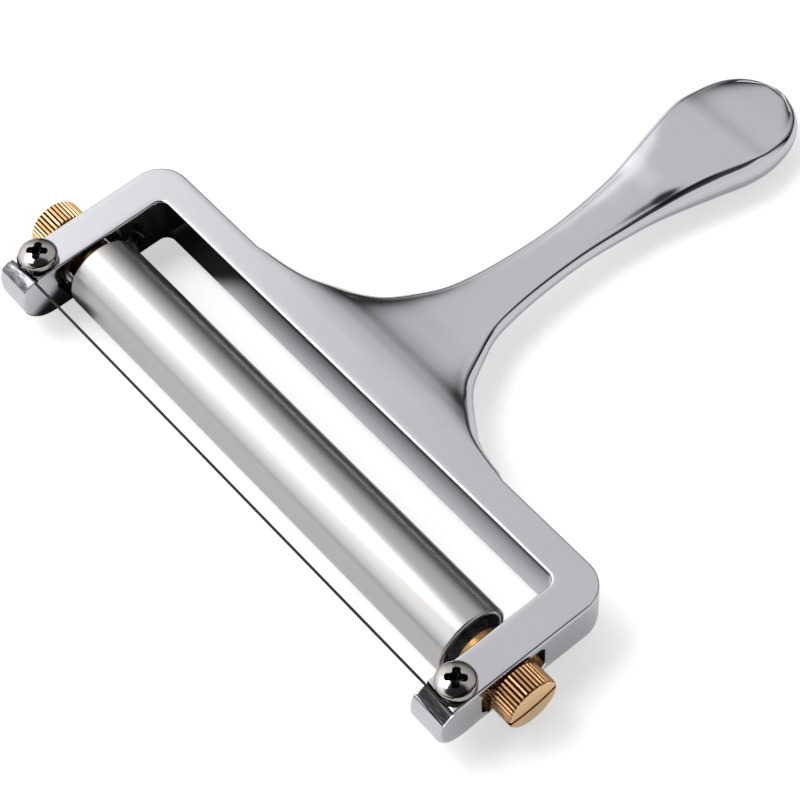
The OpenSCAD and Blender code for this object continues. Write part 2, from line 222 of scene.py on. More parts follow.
spec = castingSpec
barFaceY = castLow.y + spec["armReach"] * mm
innerX = outerX / mm - spec["armWidth"]
frameWidth = outerX / mm
depth = frameDepth / mm
stationY = [spec["barWidth"] + spec["handleLength"] * s for s in spec["stations"]]
stationW = [spec["gripWidth"] / 2 * w for w in spec["widths"]]
# (place along the handle, value) pairs for what changes from bar to grip
topTable = [(5.6, 0)] + [(y, -depth * s) for y, s in zip(stationY, spec["tops"])]
bottomTable = [(3.9, -depth)] + [(y, -b) for y, b in zip(stationY, spec["bottoms"])]
bulgeTable = [(5.0, 0)] + list(zip(stationY, spec["bulges"]))
roundTable = [(6.3, spec["topRound"]), (9, 0.5), (13, spec["creaseRound"])]
bellyTable = [(6.3, spec["underRound"]), (9, 1.3), (14, spec["bellyRound"])]


def place(x, y, z):
    return Vector((x * mm, barFaceY + y * mm, armTop + z * mm))


def castingOutline():  # right half of the top crease from the handle's end to the bar, with normals
    xs = [-stationW[-1], 0] + stationW[::-1] + spec["runOut"]
    ys = [stationY[-1], stationY[-1]] + stationY[::-1] + [spec["barWidth"]] * len(spec["runOut"])
    fine = 40
    steps = [k / fine for k in range(fine, fine * (len(xs) - 3) + 1)]
    dense = [(smoothValue(xs, t), smoothValue(ys, t)) for t in steps]
    points = [dense[0]]
    walked = 0
    for before, after in zip(dense, dense[1:]):
        walked += math.dist(before, after)
        if walked >= spec["outlineStep"]:
            points.append(after)
            walked = 0
        if after[0] > spec["joinAt"]:
            break
    points[-1] = (spec["joinAt"], points[-1][1])
    outline = []
    for k, (x, y) in enumerate(points):
        x0, y0 = points[k - 1] if k else (-points[1][0], points[1][1])
        x1, y1 = points[min(len(points) - 1, k + 1)]
        run = math.hypot(x1 - x0, y1 - y0)
        outline.append((x, y, -(y1 - y0) / run, (x1 - x0) / run))
    return outline


def curveBetween(start, corner, end, steps):
    shares = [k / steps for k in range(steps + 1)]
    return [tuple((1 - t) ** 2 * a + 2 * t * (1 - t) * c + t * t * e
                  for a, c, e in zip(start, corner, end)) for t in shares]


def rimProfile(x, y, nx, ny, topInset, bottomInset, bulge):  # from the top over the side to the bottom
    top = tableValue(topTable, y)
    bottom = tableValue(bottomTable, y)
    height = top - bottom
    topInset = min(topInset, spec["roundLimit"] * height)
    bottomInset = min(bottomInset, spec["roundLimit"] * height)

    def side(v):
        out = height * v * (1 - v) * (4 * bulge + (spec["shoulder"] * (1 - v) ** 2 if bulge else 0))
        return (x + nx * out, y + ny * out, top - height * v)

    topEdge = (x - nx * topInset, y - ny * topInset, tableValue(topTable, y - ny * topInset))
    bottomY = y - ny * bottomInset
    bottomEdge = (x - nx * bottomInset, bottomY, tableValue(bottomTable, bottomY))
    start, end = topInset / height, 1 - bottomInset / height
    sides = [side(start + (end - start) * k / spec["sideSteps"]) for k in range(1, spec["sideSteps"])]
    return (curveBetween(topEdge, (x, y, top), side(start), spec["filletSteps"]) + sides
            + curveBetween(side(end), (x, y, bottom), bottomEdge, spec["filletSteps"]))


def span(a, b, steps):
    return [tuple(p + (q - p) * k / steps for p, q in zip(a, b)) for k in range(steps + 1)]


castPoints = []
castFaces = []


def addPatch(rows):
    first = len(castPoints)
    width = len(rows[0])
    for row in rows:
        castPoints.extend(place(*p) for p in row)
    for r in range(len(rows) - 1):
        for c in range(width - 1):
            a = first + r * width + c
            castFaces.append((a, a + 1, a + width + 1, a + width))


def addFace(points):
    first = len(castPoints)
    castPoints.extend(place(*p) for p in points)
    castFaces.append(tuple(range(first, first + len(points))))


# handle: top, sides and underside, in rows across
outline = castingOutline()
columns = [i / spec["handleGrid"] for i in range(spec["handleGrid"] + 1)]
falloffs = [1 - s ** spec["riseFalloff"] for s in columns]
narrow, wide = spec["riseWidths"]
handleTop, handleSide, handleBottom = [], [], []
for x, y, nx, ny in outline:
    rim = rimProfile(x, y, nx, ny, tableValue(roundTable, y), tableValue(bellyTable, y),
                     tableValue(bulgeTable, y))
    rise = tableValue(spec["rises"], y) * min(1, x / narrow, wide / max(x, 1))
    (topX, topY, topZ), (lowX, lowY, lowZ) = rim[0], rim[-1]
    handleTop.append([(topX * s, topY, topZ + rise * f) for s, f in zip(columns, falloffs)])
    handleBottom.append([(lowX * s, lowY, lowZ - spec["riseUnder"] * rise * f)
                         for s, f in zip(columns, falloffs)])
    handleSide.append(rim)
for rows in (handleTop, handleSide, handleBottom):
    addPatch(rows)

# bar behind the roller, between the handle and the inner face
baseX = outline[-1][0]
edge = spec["innerRound"]
for base, z in ((handleTop[-1], 0), (handleBottom[-1], -depth)):
    inner = [(baseX * s, edge if z == 0 else spec["innerUnder"], z) for s in columns]
    addPatch(list(zip(*[span(p, q, spec["flatGrid"]) for p, q in zip(inner, base)])))
addPatch([rimProfile(baseX * s, 0, 0, -1, edge, spec["innerUnder"], 0) for s in columns])

# rest of the bar, corner and rear of the arm: one section carried round
fillet, corner = spec["filletRadius"], spec["cornerRadius"]
straight = [k / spec["barSteps"] for k in range(spec["barSteps"])]
innerPath = [(baseX + (innerX - fillet - baseX) * k, 0, 0, -1) for k in straight]
outerPath = [(baseX + (frameWidth - corner - baseX) * k, spec["barWidth"], 0, 1) for k in straight]
outerPath[0] = outline[-1]
for k in range(spec["cornerSteps"] + 1):
    a = math.radians(90 - 90 * k / spec["cornerSteps"])
    c, s = math.cos(a), math.sin(a)
    innerPath.append((innerX - fillet + fillet * c, -fillet + fillet * s, -c, -s))
    outerPath.append((frameWidth - corner + corner * c, spec["barWidth"] - corner + corner * s, c, s))
innerRear, outerRear = -fillet, spec["barWidth"] - corner
for k in range(1, spec["rearSteps"] + 1):
    share = k / spec["rearSteps"]
    innerPath.append((innerX, innerRear + (spec["armSeam"] - innerRear) * share, -1, 0))
    outerPath.append((frameWidth, outerRear + (spec["armSeam"] - outerRear) * share, 1, 0))
rings = []
for k, (inside, outside) in enumerate(zip(innerPath, outerPath)):
    outer = handleSide[-1] if k == 0 else rimProfile(*outside, spec["topRound"], spec["underRound"], 0)
    inner = rimProfile(*inside, edge, spec["innerUnder"], 0)
    rings.append(span(inner[0], outer[0], spec["flatGrid"]) + outer[1:-1]
                 + span(outer[-1], inner[-1], spec["flatGrid"]) + inner[-2::-1])
addPatch(rings)


# front of the arm: a side outline carried across the arm, drawn in at both sides
def armOutline():
    tip = -spec["armReach"]
    seam = spec["armSeam"]
    ys = [tip + back for back, down in spec["nose"]]
    zs = [-down for back, down in spec["nose"]]
    fine, low = spec["noseSteps"], spec["armUnderSteps"]
    top = span((seam, 0), (ys[0], 0), spec["armTopSteps"])[:-1]
    belly = [(smoothValue(ys, k / fine), smoothValue(zs, k / fine)) for k in range(fine * (len(ys) - 1) + 1)]
    under = span((belly[-1][0], -depth), (seam, -depth), low)[1:]
    points = top + belly + under
    rows = []
    for k, (y, z) in enumerate(points):
        y0, z0 = points[max(0, k - 1)]
        y1, z1 = points[min(len(points) - 1, k + 1)]
        run = math.hypot(y1 - y0, z1 - z0)
        ny, nz = (z1 - z0) / run, -(y1 - y0) / run
        if k <= len(top):
            ny, nz = 0, 1
        elif k > len(points) - low + 1:
            ny, nz = 0, -1
        rows.append((y, z, ny, nz))
    return rows


# rounds along both sides of an arm, each as (place, round) pairs: upper edge, nose, lower edge
def outerRoundAt(y, z):
    if z > -0.01:
        return tableValue([(-30, 0.25), (-27.6, 0.35), (-25.5, spec["topRound"])], y)
    if z > -5:
        return tableValue([(-5, 1.0), (-3, 0.4), (-1, 0.25)], z)
    return tableValue([(-31.6, 1.0), (-27, 1.6), (-23, spec["underRound"])], y)


def innerRoundAt(y, z):
    if z > -0.01:
        return tableValue([(-30, 0.25), (-28.5, 0.3), (-25.5, edge)], y)
    return tableValue([(-10.4, spec["innerUnder"]), (-9, edge), (-5, edge), (-2.5, 0.25)], z)


armRows = []
for y, z, ny, nz in armOutline():
    large = outerRoundAt(y, z)
    small = innerRoundAt(y, z)
    inner = curveBetween((innerX, small), (innerX, 0), (innerX + small, 0), spec["filletSteps"])
    outer = curveBetween((frameWidth - large, 0), (frameWidth, 0), (frameWidth, large), spec["filletSteps"])
    flat = span(inner[-1], outer[0], spec["flatGrid"])[1:-1]
    armRows.append([(x, y - ny * inset, z - nz * inset) for x, inset in inner + flat + outer])
addPatch(armRows)
outerWall = rimProfile(frameWidth, spec["armSeam"], 1, 0, spec["topRound"], spec["underRound"], 0)
innerWall = rimProfile(innerX, spec["armSeam"], -1, 0, edge, spec["innerUnder"], 0)
steps = spec["filletSteps"]
addFace([row[-1] for row in armRows] + outerWall[-steps - 2:steps:-1])
addFace([row[0] for row in armRows] + innerWall[-steps - 2:steps:-1])

castMesh = bpy.data.meshes.new("casting")
castMesh.from_pydata(castPoints, [], castFaces)
casting = bpy.data.objects.new("casting", castMesh)
bpy.context.collection.objects.link(casting)
cleanSkin(casting)
mirror = casting.modifiers.new("mirror", "MIRROR")
mirror.use_clip = True
mirror.merge_threshold = 2e-6
applyAll(casting)
cleanSkin(casting)
print("casting skinned with", len(casting.data.polygons), "faces")


# cutters for one arm, then for its twin
armCutSpec = {
    "slotLength": 13.4, "slotHeight": 6.9, "slotFront": 22.0, "slotCorner": 1.2, "mouthChamfer": 0.22,
    "pocketHalf": 4.7, "pocketDepth": 1.6, "pocketRear": 9.3, "pocketFront": 19.1,
    "holeRadius": 1.8, "holeDepth": 7.8,
    # wire seat and trough at the tip: turn in degrees, back edge, then how far forward of it and how deep
    "channelSkew": 5.0, "channelBack": 27.45,
    "rightFloor": [(0, 0), (0.06, 0.46), (0.2, 0.6), (0.5, 0.64), (0.9, 0.8), (1.35, 1.08), (1.8, 1.4),
                   (2.1, 1.58), (2.3, 1.6), (2.45, 1.46), (2.58, 1.15), (2.7, 0.6)],
    "leftFloor": [(0, 0), (0.06, 0.46), (0.2, 0.6), (0.5, 0.6), (0.66, 0.3)],
}


def prismAlongX(name, outlinePoints, startX, endX):  # a filled outline (y, z) extruded across
    openOutline([place(startX, y, z) for y, z in outlinePoints])
    bpy.ops.mesh.extrude_region_move(TRANSFORM_OT_translate={"value": ((endX - startX) * mm, 0, 0)})
    obj = nameAndSettle(name)
    cleanSkin(obj)
    return obj


def slotOutline():
    c = armCutSpec
    front, rear = -c["slotFront"], -c["slotFront"] + c["slotLength"]
    low, high = (-depth - c["slotHeight"]) / 2, (-depth + c["slotHeight"]) / 2
    r = c["slotCorner"]
    return [(front + r, low), (rear - r, low), (rear, low + r), (rear, high - r),
            (rear - r, high), (front + r, high), (front, high - r), (front, low + r)]


def armCutters(side):  # each reaches past the arm by its clearance
    c = armCutSpec
    clear = 1
    through = prismAlongX("slotCutter", slotOutline(), side * (innerX - clear), side * (frameWidth + clear))
    mouthStart, mouthEnd = frameWidth - c["mouthChamfer"], frameWidth + 0.3
    mouth = prismAlongX("mouthCutter", slotOutline(), side * mouthStart, side * mouthEnd)
    flare = 2 * (mouthEnd - mouthStart)
    centre = place(0, -c["slotFront"] + c["slotLength"] / 2, -depth / 2)
    for vertex in mouth.data.vertices:
        if abs(vertex.co.x) / mm > mouthEnd - 0.01:
            vertex.co.y = centre.y + (vertex.co.y - centre.y) * (1 + flare / c["slotLength"])
            vertex.co.z = centre.z + (vertex.co.z - centre.z) * (1 + flare / c["slotHeight"])
    pocket = prismAlongX(
        "pocketCutter",
        arcPoints(-c["pocketFront"], -depth / 2, c["pocketHalf"], 90, 270, 24)
        + arcPoints(-c["pocketRear"], -depth / 2, c["pocketHalf"], -90, 90, 24),
        side * (innerX - clear), side * (innerX + c["pocketDepth"]))
    floorLine = [(-c["channelBack"] - forward, -down)
                 for forward, down in c["rightFloor" if side > 0 else "leftFloor"]]
    bed = [(-c["channelBack"], 2)] + floorLine + [(floorLine[-1][0], 2)]
    channel = prismAlongX("channelCutter", bed, side * (innerX - 2), side * (frameWidth + 2))
    pivot = place(side * screwX / mm, -c["channelBack"], 0)
    turn = Matrix.Rotation(math.radians(-side * c["channelSkew"]), 4, "Z")
    channel.data.transform(Matrix.Translation(pivot) @ turn @ Matrix.Translation(-pivot))
    bpy.ops.mesh.primitive_cylinder_add(
        vertices=48, radius=c["holeRadius"] * mm, depth=(c["holeDepth"] + 2) * mm,
        location=(side * screwX, screwY, armTop + (2 - c["holeDepth"]) * mm / 2))
    return [through, mouth, pocket, channel, nameAndSettle("holeCutter")]


for side in (1, -1):
    for cutter in armCutters(side):
        cut(casting, cutter)
cleanSkin(casting, 1e-6)
softShade(casting, 30)
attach(casting, "frame")
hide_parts("cast_frame")
print("casting cut to", len(casting.data.polygons), "faces")


def turned(name, profile, segments):  # closed outline (x, radius) spun round the roller's axis
    points = [(x * mm, axisY + radius * mm, axisZ) for x, radius in profile]
    return spun(name, points, axisPoint, (1, 0, 0), segments)


# threads: where one starts, the core it leaves alone, how it fades in and out, half a groove in turns
threadSpec = {"start": -0.1, "core": 0.8, "fadeIn": 1.2, "fadeOut": 0.6, "grooveHalf": 0.38}


def threadedShank(foot, axis, c, length, turn=(0, 0, 0)):  # round bar with a lead-in and a helical thread
    t = threadSpec
    deselectAll()
    bpy.ops.mesh.primitive_circle_add(vertices=c["shankSides"], radius=c["shankRadius"] * mm,
                                      fill_type="NGON", location=foot, rotation=turn)
    editAll(bpy.context.object)
    bpy.ops.mesh.extrude_repeat(steps=c["shankSteps"], offset=axis * (length * mm / c["shankSteps"]))
    shank = nameAndSettle("shank")
    cleanSkin(shank, 1e-6)
    side = axis.orthogonal().normalized()
    start, end = t["start"] * mm, c["threadLength"] * mm
    for vertex in shank.data.vertices:
        away = vertex.co - foot
        along = away.dot(axis)
        out = away - axis * along
        if out.length >= t["core"] * mm and start < along < end:
            angle = math.atan2(out.dot(axis.cross(side)), out.dot(side))
            phase = (along / (c["pitch"] * mm) - angle / (2 * math.pi)) % 1
            fade = min(1, (along - start) / (t["fadeIn"] * mm), (end - along) / (t["fadeOut"] * mm))
            groove = 1 - min(1, abs(phase - 0.5) / t["grooveHalf"])
            out -= out.normalized() * (c["threadDepth"] * mm * fade * groove)
        limit = c["leadIn"] * mm + along
        if out.length > limit:
            out *= limit / out.length
        vertex.co = foot + axis * along + out
    return shank


# Roller: tube, bearing plugs, rod and collars, each turned from its outline
rollerSpec = {"wall": 1.1, "rimRound": 0.44, "boreBevel": 0.18, "tubeSides": 192,
              "plugInset": 2.0, "plugLength": 9.0, "bossWall": 1.3, "bossHeight": 1.2, "plugGap": 0.06,
              "rodRadius": 3.0, "rodBevel": 0.25, "shankBore": 2.06, "boreMouth": 0.3, "boreDepth": 11.0,
              "boreTip": 1.1, "collarChamfer": 0.3, "collarMouths": (0.25, 0.2), "hubRadius": 3.1,
              "collarRadius": 4.4, "fineSides": 96, "slipGap": 0.02,
              # bevels of a plug, then the groove round its boss: lip and foot on both sides, and depth
              "backBevel": 0.3, "rimBevel": 0.4, "bossBevel": 0.15, "grooveOuter": (0.9, 1.05),
              "grooveInner": (0.08, 0.25), "grooveDepth": 0.45}

spec = rollerSpec
half = tubeHigh.x / mm
bore = rollerRadius / mm - spec["wall"]
soft = spec["rimRound"]
radius = rollerRadius / mm - 0.002
bevel = spec["boreBevel"]
rightRim = arcPoints(half - soft, radius - soft, soft, 0, 90, 7)
rightMouth = [(half - bevel * 0.4, bore), (half - 0.02, bore + bevel)]
tube = turned("rollerTube", rightMouth + rightRim + [(-x, r) for x, r in (rightMouth + rightRim)[::-1]],
              spec["tubeSides"])
softShade(tube, 35)
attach(tube, "roller")
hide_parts("roller_tube")

face = half - spec["plugInset"]
back = face - spec["plugLength"]
boss = spec["rodRadius"] + spec["bossWall"]
bossFace = face + spec["bossHeight"]
plugBore = spec["rodRadius"] + spec["plugGap"]
rear, rim, tip = spec["backBevel"], spec["rimBevel"], spec["bossBevel"]
outerLip, outerFoot = spec["grooveOuter"]
innerLip, innerFoot = spec["grooveInner"]
floorX = face - spec["grooveDepth"]
plug = turned("rightRollerPlug", [
    (back, plugBore), (back, bore - rear), (back + rear, bore), (face - rim, bore), (face, bore - rim),
    (face, bore - outerLip), (floorX, bore - outerFoot), (floorX, boss + innerFoot), (face, boss + innerLip),
    (bossFace - tip, boss), (bossFace, boss - tip), (bossFace, plugBore + tip), (bossFace - tip, plugBore)],
    spec["fineSides"])
softShade(plug, 30)

inEnd, outEnd = collarLow.x / mm, collarHigh.x / mm
flangeX = innerX + armCutSpec["pocketDepth"] - spec["slipGap"]
flange, hub = spec["collarRadius"], spec["hubRadius"]
hole, chamfer = spec["shankBore"], spec["collarChamfer"]
mouthIn, mouthOut = spec["collarMouths"]
collar = turned("rightAxleCollar", [
    (inEnd, hole + mouthIn), (inEnd, flange - chamfer), (inEnd + chamfer, flange), (flangeX, flange),
    (flangeX, hub), (outEnd - chamfer, hub), (outEnd, hub - chamfer), (outEnd, hole + mouthOut),
    (outEnd - mouthOut, hole), (inEnd + mouthIn, hole)], spec["fineSides"])
softShade(collar, 30)

rodEnd = corners("axle_rod")[1].x / mm
skin = spec["rodRadius"] - 0.008
rightEnd = [(rodEnd, hole + spec["boreMouth"]), (rodEnd, spec["rodRadius"] - spec["rodBevel"]),
            (rodEnd - spec["rodBevel"], skin)]
boreEnd = [(rodEnd - spec["boreDepth"] - spec["boreTip"], 0), (rodEnd - spec["boreDepth"], hole),
           (rodEnd - spec["boreMouth"], hole)]
rightHalf = boreEnd + rightEnd
rod = turned("axleRod", rightHalf + [(-x, r) for x, r in rightHalf[::-1]], spec["fineSides"])
softShade(rod, 30)
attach(rod, "carriage")
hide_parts("axle_rod")

for right, left, node, body, slot in (
        (plug, "leftRollerPlug", "roller_plug", "roller", "bearing_plastic"),
        (collar, "leftAxleCollar", "axle_collar", "carriage", "collar_brass")):
    twin = mirroredCopy(right, left)
    softShade(twin, 30)
    for side, piece in (("right_", right), ("left_", twin)):
        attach(piece, body)
        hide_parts(side + node)
print("roller set turned")


# Thumb screws: knurled head with a crowned, slotted face, and a threaded shank
thumbSpec = {"teeth": 38, "pointsPerTooth": 8, "knurlDepth": 0.4, "grooveHalf": 0.3,
             "backChamfer": 0.5, "faceChamfer": 0.25, "crown": 0.265,
             "backRings": [0.12, 0.3, 0.5, 0.75], "frontRings": [0.5, 0.27, 0.12],
             "faceRings": [0.1, 0.5, 1.1, 1.1, 1.1],
             "slotWidth": 0.9, "slotDepth": 1.1, "slotTurn": 96,
             "shankRadius": 2.0, "pitch": 0.7, "threadDepth": 0.4, "threadLength": 8.6, "leadIn": 1.35,
             "shankSides": 32, "shankSteps": 150, "overlap": 1.5}

spec = thumbSpec
knobBack, knobFace = outerX / mm + rollerSpec["slipGap"], knobHigh.x / mm + 0.01
knobRadius = (knobHigh.y - knobLow.y) / 2 / mm + 0.005
headLength = knobFace - knobBack - spec["crown"]
deselectAll()
bpy.ops.mesh.primitive_cylinder_add(
    vertices=spec["teeth"] * spec["pointsPerTooth"], radius=knobRadius * mm, depth=headLength * mm,
    location=((knobBack + headLength / 2) * mm, axisY, axisZ), rotation=(0, math.pi / 2, 0))
thumb = nameAndSettle("rightThumbScrew")
for ring in spec["backRings"] + [headLength / 2] + [headLength - r for r in spec["frontRings"]]:
    editAll(thumb)
    bpy.ops.mesh.bisect(plane_co=((knobBack + ring) * mm, axisY, axisZ), plane_no=(1, 0, 0))
bpy.ops.mesh.select_all(action="DESELECT")
bpy.ops.object.mode_set(mode="OBJECT")
for polygon in thumb.data.polygons:
    polygon.select = polygon.center.x > (knobFace - spec["crown"]) * mm - 1e-6
bpy.ops.object.mode_set(mode="EDIT")
for shrink in spec["faceRings"]:
    bpy.ops.mesh.inset(thickness=shrink * mm)
bpy.ops.object.mode_set(mode="OBJECT")
for vertex in thumb.data.vertices:
    out = Vector((0, vertex.co.y - axisY, vertex.co.z - axisZ))
    length = out.length / mm
    along = vertex.co.x / mm - knobBack
    phase = math.atan2(out.z, out.y) / (2 * math.pi) * spec["teeth"] % 1
    groove = max(0, 1 - abs(phase - 0.5) / spec["grooveHalf"])
    limit = min(knobRadius - spec["knurlDepth"] * groove,
                knobRadius - spec["backChamfer"] + along,
                knobRadius - spec["faceChamfer"] + headLength - along)
    if length > limit:
        out *= limit / length
        vertex.co.y, vertex.co.z = axisY + out.y, axisZ + out.z
    if along > headLength - 0.001:
        vertex.co.x += spec["crown"] * mm * (1 - (out.length / mm / knobRadius) ** 2)

cleanSkin(thumb, 1e-6)
cut(thumb, threadedShank(Vector((knobLow.x, axisY, axisZ)), Vector((1, 0, 0)), spec,
                         knobBack + spec["overlap"] - knobLow.x / mm, (0, math.pi / 2, 0)), "UNION")

deselectAll()
bpy.ops.mesh.primitive_cube_add(size=1, location=(knobFace * mm, axisY, axisZ))
slotCutter = bpy.context.object
slotCutter.scale = (2 * spec["slotDepth"] * mm, spec["slotWidth"] * mm, 3 * knobRadius * mm)
slotCutter.rotation_euler = (math.radians(spec["slotTurn"]), 0, 0)
cut(thumb, nameAndSettle("slotCutter"))
cleanSkin(thumb, 1e-6)
softShade(thumb, 28)
leftThumb = mirroredCopy(thumb, "leftThumbScrew")
softShade(leftThumb, 28)
for side, piece in (("right", thumb), ("left", leftThumb)):
    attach(piece, side + "_thumb")
    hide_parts(side + "_thumb_screw")
print("thumb screws knurled and slotted,", len(thumb.data.polygons), "faces each")


# Clamp screws: pan head with a cross recess, standing a little off the arm, and a threaded shank
clampSpec = {"headHeight": 2.06, "lift": 0.65, "headSides": 96, "shankRadius": 1.75, "threadLength": 7.0,
             "pitch": 0.6, "threadDepth": 0.32, "leadIn": 1.2, "shankSides": 28, "shankSteps": 90,
             "overlap": 0.7, "turn": 45,
             # cross recess: half its span, width, corner, share of the width at a wing's tip, round at the
             # root, and how far above the head its cutter starts
             "recessHalf": 1.98, "recessWidth": 1.4, "recessCorner": 0.3, "recessTip": 0.45,
             "recessRoot": 0.08, "recessClear": 0.4,
             # how far each step of the recess goes down, and how much smaller its foot is
             "recessSteps": [(0.75, 0.95), (0.9, 0.62), (0.35, 0.35)],
             "head": [(1.2, 0), (3.12, 0), (3.34, 0.08), (3.48, 0.26), (3.52, 0.5), (3.51, 0.84),
                      (3.42, 1.08), (3.24, 1.29), (2.94, 1.46), (2.46, 1.65), (1.9, 1.82), (1.33, 1.94),
                      (0.66, 2.03), (0, 2.06), (0, 1.0), (0.6, 0.5)]}


def phillipsCutter(centre):
    c = clampSpec
    reach, width = c["recessHalf"], c["recessWidth"] / 2
    corner, tip, root = c["recessCorner"], width * c["recessTip"], width + c["recessRoot"]
    wing = [(reach - corner, -width), (reach, -tip), (reach, tip), (reach - corner, width),
            (width + corner, width), (root, root), (width, width + corner)]
    ring = []
    for quarter in range(4):
        angle = math.radians(90 * quarter + c["turn"])
        cos, sin = math.cos(angle), math.sin(angle)
        ring += [((a * cos - b * sin) * mm, (a * sin + b * cos) * mm) for a, b in wing]
    above = (c["headHeight"] + c["recessClear"]) * mm
    openOutline([centre + Vector((x, y, above)) for x, y in ring])
    middle = centre + Vector((0, 0, c["headHeight"] * mm))
    for drop, size in c["recessSteps"]:
        bpy.ops.mesh.extrude_region_move(TRANSFORM_OT_translate={"value": (0, 0, -drop * mm)})
        bpy.ops.transform.resize(value=(size, size, 1), center_override=middle)
    obj = nameAndSettle("phillipsCutter")
    cleanSkin(obj, 1e-6)
    return obj


def clampScrew(name, centre):
    c = clampSpec
    up = Vector((0, 0, 1))
    profile = [centre + Vector((r * mm, 0, z * mm)) for r, z in c["head"]]
    head = spun(name, profile, centre, up, c["headSides"])
    foot = centre - up * (c["threadLength"] * mm)
    cut(head, threadedShank(foot, up, c, c["threadLength"] + c["overlap"]), "UNION")
    cut(head, phillipsCutter(centre))
    cleanSkin(head, 1e-6)
    softShade(head, 32)
    return head


for side, sign in (("right", 1), ("left", -1)):
    piece = clampScrew(side + "ClampScrew", Vector((sign * screwX, screwY, armTop + clampSpec["lift"] * mm)))
    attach(piece, side + "_clamp")
    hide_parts(side + "_clamp_screw")
print("clamp screws cut")


# Cutting wire: straight between the arms, then up the channel and once round each clamp screw
wireSpec = {"thickness": 0.5, "inset": 0.3, "sunk": 0.75, "loopGap": 0.03, "headHalf": 3.6, "loopSteps": 10,
            # the loop: across and along the arm in half head widths, and the share of the way up
            "across": [-0.82, -0.42, 0, 0.38, 0.7, 0.86, 0.8, 0.5, 0.05, -0.45, -0.68, -0.6, -0.28],
            "along": [0, 0, -0.03, 0.02, 0.22, 0.62, 1.1, 1.52, 1.7, 1.52, 1.05, 0.6, 0.36],
            "rise": [0, 0.02, 0.4] + [1] * 10}

spec = wireSpec
wireY = -armCutSpec["channelBack"] - spec["inset"]
wireZ = -spec["thickness"] * spec["sunk"]
wireTop = spec["thickness"] / 2 + spec["loopGap"]
fine = spec["loopSteps"]
loop = []
for k in range((len(spec["across"]) - 1) * fine + 1):
    across, along, rise = [smoothValue(spec[key], k / fine) for key in ("across", "along", "rise")]
    loop.append((screwX / mm + spec["headHalf"] * across, wireY + spec["headHalf"] * along,
                 wireZ + (wireTop - wireZ) * max(0, min(1, rise))))
path = [(-x, y, z) for x, y, z in loop[::-1]] + [(0, wireY, wireZ)] + loop
deselectAll()
bpy.ops.curve.primitive_nurbs_path_add()
wire = bpy.context.object
wire.data.splines.clear()
spline = wire.data.splines.new("POLY")
spline.points.add(len(path) - 1)
for point, (x, y, z) in zip(spline.points, path):
    point.co = (*place(x, y, z), 1)
wire.data.dimensions = "3D"
wire.data.bevel_depth = spec["thickness"] / 2 * mm
wire.data.bevel_resolution = 4
wire.data.use_fill_caps = True
bpy.ops.object.convert(target="MESH")
wire = nameAndSettle("cuttingWire")
cleanSkin(wire, 1e-7)
softShade(wire, 50)
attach(wire, "frame")
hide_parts("cutting_wire")
print("wire strung")


# Finishes. Each has fine wear, and some have a drawn or turned grain or a painted shade of their own
def feed(tree, sockets, values):  # a number or colour is set, another node's output is linked
    for key, value in dict(values).items():
        if isinstance(value, bpy.types.NodeSocket):
            tree.links.new(value, sockets[key])
        else:
            sockets[key].default_value = value


def addNode(tree, kind, inputs=(), **settings):
    node = tree.nodes.new("ShaderNode" + kind)
    for key, value in settings.items():
        setattr(node, key, value)
    feed(tree, node.inputs, inputs)
    return node


def mathNode(tree, operation, *values, clamp=False):
    return addNode(tree, "Math", enumerate(values), operation=operation, use_clamp=clamp).outputs[0]


# smooth step from low to high as the value goes from start to end
def stepNode(tree, value, start, end, low, high):
    inputs = zip(("Value", "From Min", "From Max", "To Min", "To Max"), (value, start, end, low, high))
    return addNode(tree, "MapRange", inputs, interpolation_type="SMOOTHSTEP").outputs[0]


# noises: how much finer the second one of the wear is, their shares, details and roughness
noiseSpec = {"finer": 14, "coarseShare": 0.65, "fineShare": 0.35, "patches": {"Detail": 3},
             "fine": {"Detail": 4, "Roughness": 0.65}, "lines": {"Detail": 5, "Roughness": 0.7}}


def noise(tree, where, scale, kind):
    return addNode(tree, "TexNoise", {"Vector": where, "Scale": scale, **noiseSpec[kind]}).outputs[0]


def addWear(tree, where, rough, scale, smudge, spread):  # patchy tone, uneven roughness and a slow ripple
    patches = noise(tree, where, scale, "patches")
    fine = noise(tree, where, scale * noiseSpec["finer"], "fine")
    coarse = mathNode(tree, "MULTIPLY", patches, noiseSpec["coarseShare"])
    both = mathNode(tree, "MULTIPLY_ADD", fine, noiseSpec["fineShare"], coarse)
    centred = mathNode(tree, "SUBTRACT", both, 0.5)
    tone = mathNode(tree, "MULTIPLY_ADD", centred, smudge, 1)
    return tone, mathNode(tree, "MULTIPLY_ADD", centred, spread, rough, clamp=True), patches


def addGrain(tree, along, stretch, scale, depth):  # fine lines: drawn wire, turned faces, brushed tube
    stretched = addNode(tree, "VectorMath", {0: along, 1: stretch}, operation="MULTIPLY").outputs[0]
    lines = noise(tree, stretched, scale, "lines")
    centred = mathNode(tree, "SUBTRACT", lines, 0.5)
    return mathNode(tree, "MULTIPLY_ADD", centred, depth, 1), lines


def squaredDistance(tree, a, b, fromA, fromB):
    da, db = mathNode(tree, "SUBTRACT", a, fromA), mathNode(tree, "SUBTRACT", b, fromB)
    return mathNode(tree, "MULTIPLY_ADD", da, da, mathNode(tree, "MULTIPLY", db, db))


def fromAxis(tree, y, z):  # distance from the roller's axis
    return mathNode(tree, "SQRT", squaredDistance(tree, y, z, axisY, axisZ))


def product(tree, first, *others):
    for other in others:
        first = mathNode(tree, "MULTIPLY", first, other)
    return first


def edgeStep(tree, value, base, edges, low=0, high=1):  # both edges in millimetres from a base in metres
    return stepNode(tree, value, *[base + edge * mm for edge in edges], low, high)


def leftOrRight(tree, x, left, right):  # one value on each side of the middle
    return stepNode(tree, x, -0.01, 0.01, left, right)
